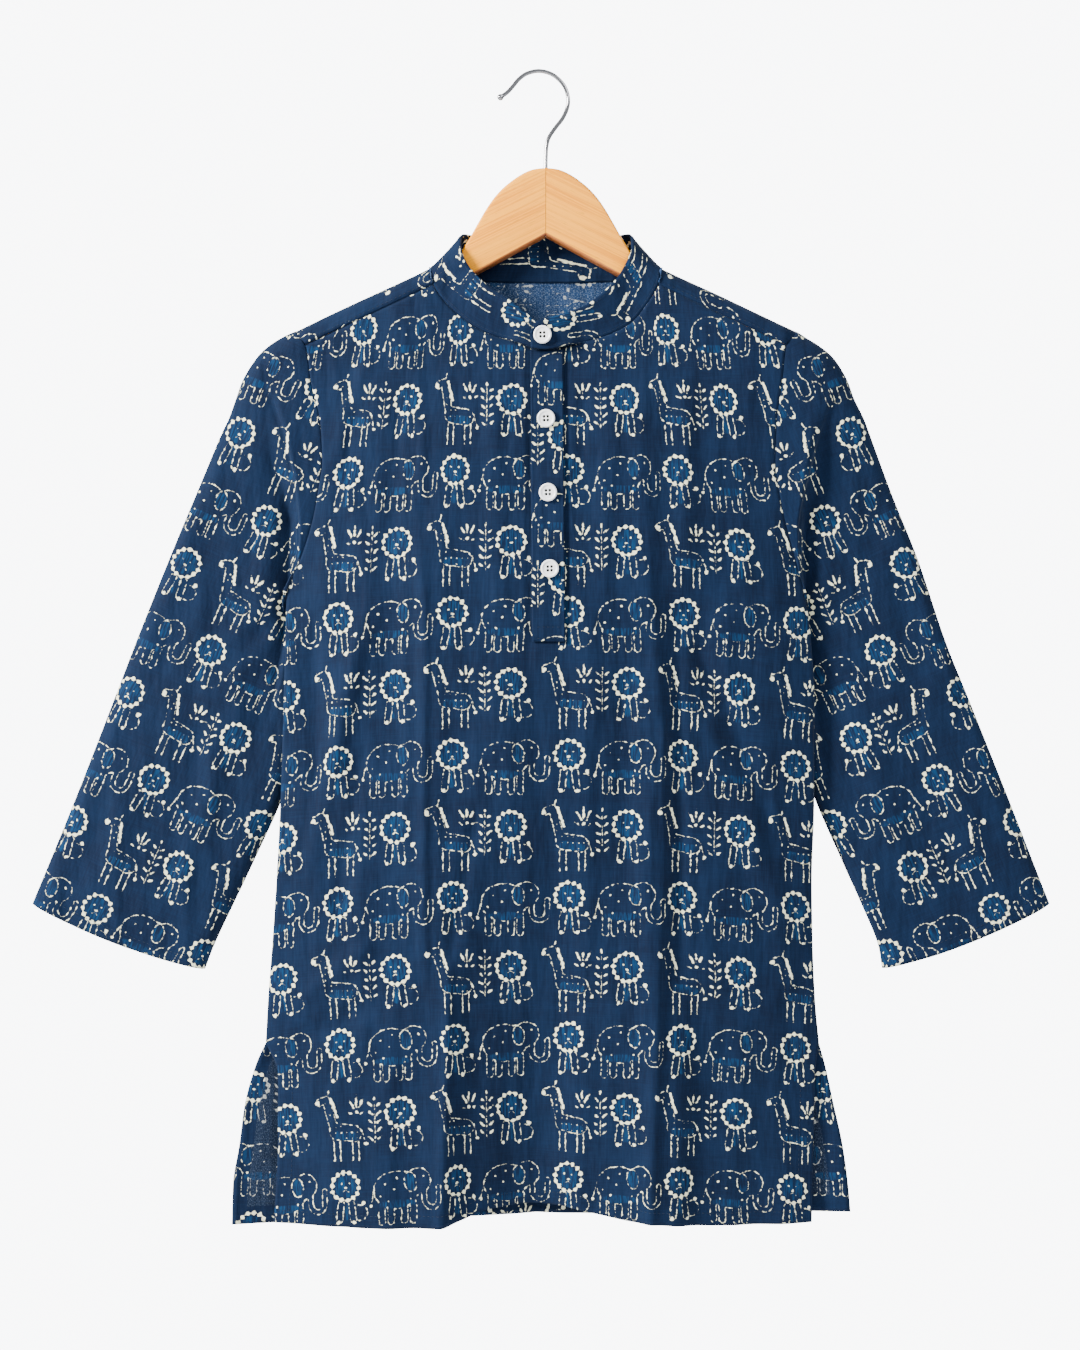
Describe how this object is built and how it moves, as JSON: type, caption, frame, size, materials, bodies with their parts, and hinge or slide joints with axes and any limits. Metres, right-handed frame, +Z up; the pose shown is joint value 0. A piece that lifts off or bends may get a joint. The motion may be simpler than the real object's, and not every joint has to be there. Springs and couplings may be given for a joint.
{
  "type": "kurta tunic on a hanger",
  "caption": "Straight-cut child's kurta tunic with band collar, short placket, three-quarter sleeves and side slits, hanging flat on a wooden clothes hanger.",
  "frame": {"origin": "inside top of the hanger's hook, where the rod or nail carries it", "axes": "+Z up, -Y out of the garment's front, +X to the right of someone facing the front"},
  "size_m": [0.6416, 0.0422, 0.7245],
  "materials": {
    "body_cloth": "plain-weave cotton, indigo ground with a cream and mid-blue resist print",
    "yoke_cloth": "the same printed cotton, cut across",
    "sleeve_cloth": "the same printed cotton, print along the sleeve",
    "band_cloth": "the same printed cotton, interlined and edge-stitched",
    "buttons": "satin white, four holes and a raised rim",
    "hanger_wood": "clear-lacquered pale hardwood, straight grain mitred at the centre",
    "hook_steel": "bright polished wire"
  },
  "bodies": {
    "root": {"front": "body_cloth", "back": "body_cloth", "yoke": "yoke_cloth", "sleeve_left": "sleeve_cloth", "sleeve_right": "sleeve_cloth", "collar": "band_cloth", "placket_top": "band_cloth", "placket_under": "band_cloth", "button_1": "buttons", "button_2": "buttons", "button_3": "buttons", "button_4": "buttons", "hanger_arm_left": "hanger_wood", "hanger_arm_right": "hanger_wood", "hook": "hook_steel"}
  },
  "joints": []
}
